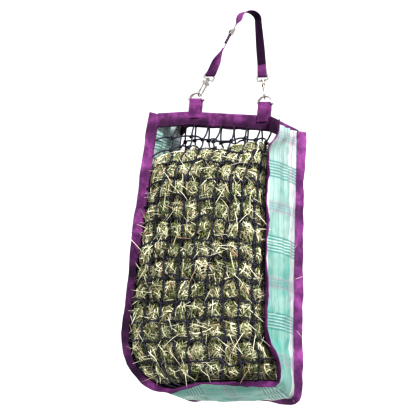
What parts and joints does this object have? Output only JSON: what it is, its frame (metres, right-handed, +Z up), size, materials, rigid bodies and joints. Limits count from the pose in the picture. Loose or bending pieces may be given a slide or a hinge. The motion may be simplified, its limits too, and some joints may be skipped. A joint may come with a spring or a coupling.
{
  "type": "hay net",
  "caption": "Slow-feed hay bag: knotted net front and back, plaid mesh gussets, bound seams, pinched mouth on D-rings, snaps and an adjustable hanging strap.",
  "frame": {"origin": "underside of the hanging strap at the top of its bend, where it hangs on a hook or rail", "axes": "+Z up, +X to the right along the front net, -Y out of the front net"},
  "size_m": [0.4731, 0.2526, 1.1274],
  "materials": {
    "net_cord": "braided cord",
    "plaid_mesh": "vinyl-coated mesh",
    "purple_webbing": "woven polypropylene",
    "hay": "dry stems",
    "nickel_plate": "nickel plate",
    "steel": "bright"
  },
  "bodies": {
    "strap": {"hanging_strap": "purple_webbing", "snap_eye_left": "nickel_plate", "snap_eye_right": "nickel_plate"},
    "slider": {"strap_slider": "nickel_plate", "slider_loop": "purple_webbing"},
    "hook_left": {"snap_hook_left": "nickel_plate", "gate_pin_left": "steel", "gate_spring_left": "steel"},
    "gate_left": {"snap_gate_left": "nickel_plate"},
    "hook_right": {"snap_hook_right": "nickel_plate", "gate_pin_right": "steel", "gate_spring_right": "steel"},
    "gate_right": {"snap_gate_right": "nickel_plate"},
    "bag": {"front_net": "net_cord", "back_net": "net_cord", "left_gusset": "plaid_mesh", "right_gusset": "plaid_mesh", "bottom_gusset": "plaid_mesh", "front_top_band": "purple_webbing", "back_top_band": "purple_webbing", "front_binding_left": "purple_webbing", "front_binding_right": "purple_webbing", "front_binding_bottom": "purple_webbing", "back_binding_left": "purple_webbing", "back_binding_right": "purple_webbing", "back_binding_bottom": "purple_webbing", "ring_tab_front_left": "purple_webbing", "ring_tab_front_right": "purple_webbing", "ring_tab_back_left": "purple_webbing", "ring_tab_back_right": "purple_webbing", "hay_fill": "hay"},
    "ring_front_left": {"d_ring_front_left": "nickel_plate"},
    "ring_front_right": {"d_ring_front_right": "nickel_plate"},
    "ring_back_left": {"d_ring_back_left": "nickel_plate"},
    "ring_back_right": {"d_ring_back_right": "nickel_plate"}
  },
  "joints": [
    {"name": "slider_slide", "type": "slide", "parent": "strap", "child": "slider", "axis": [0.4313, -0.0558, 0.9005], "range_m": [-0.01, 0.01]},
    {"name": "swivel_left", "type": "hinge", "parent": "strap", "child": "hook_left", "pos_m": [-0.12675, 0, -0.23851], "axis": [0.432, 0, 0.9019], "range_deg": [-24, 24]},
    {"name": "gate_left_open", "type": "hinge", "parent": "hook_left", "child": "gate_left", "pos_m": [-0.11362, 0.0115, -0.2111], "axis": [-0.9019, 0, 0.432], "range_deg": [0, 22], "stiffness_Nm_per_rad": 0.03, "springref_deg": -22.92},
    {"name": "swivel_right", "type": "hinge", "parent": "strap", "child": "hook_right", "pos_m": [0.06709, 0, -0.24842], "axis": [-0.1886, 0, 0.9821], "range_deg": [-42, 4]},
    {"name": "gate_right_open", "type": "hinge", "parent": "hook_right", "child": "gate_right", "pos_m": [0.05749, 0.01081, -0.21931], "axis": [-0.9228, -0.342, -0.1772], "range_deg": [0, 22], "stiffness_Nm_per_rad": 0.03, "springref_deg": -22.92},
    {"name": "bag_swing", "type": "hinge", "parent": "strap", "child": "bag", "pos_m": [-0.129, 0, -0.2432], "axis": [0.9986, 0, -0.0523], "range_deg": [-12, 12]},
    {"name": "ring_front_left_tilt", "type": "hinge", "parent": "bag", "child": "ring_front_left", "pos_m": [-0.138, -0.005, -0.262], "axis": [1, 0, 0], "range_deg": [0, 1.5]},
    {"name": "ring_front_right_tilt", "type": "hinge", "parent": "bag", "child": "ring_front_right", "pos_m": [0.072, -0.005, -0.274], "axis": [1, 0, 0], "range_deg": [0, 1.5]},
    {"name": "ring_back_left_tilt", "type": "hinge", "parent": "bag", "child": "ring_back_left", "pos_m": [-0.138, 0.005, -0.262], "axis": [-1, 0, 0], "range_deg": [0, 1.5]},
    {"name": "ring_back_right_tilt", "type": "hinge", "parent": "bag", "child": "ring_back_right", "pos_m": [0.072, 0.005, -0.274], "axis": [-1, 0, 0], "range_deg": [0, 1.5]}
  ]
}
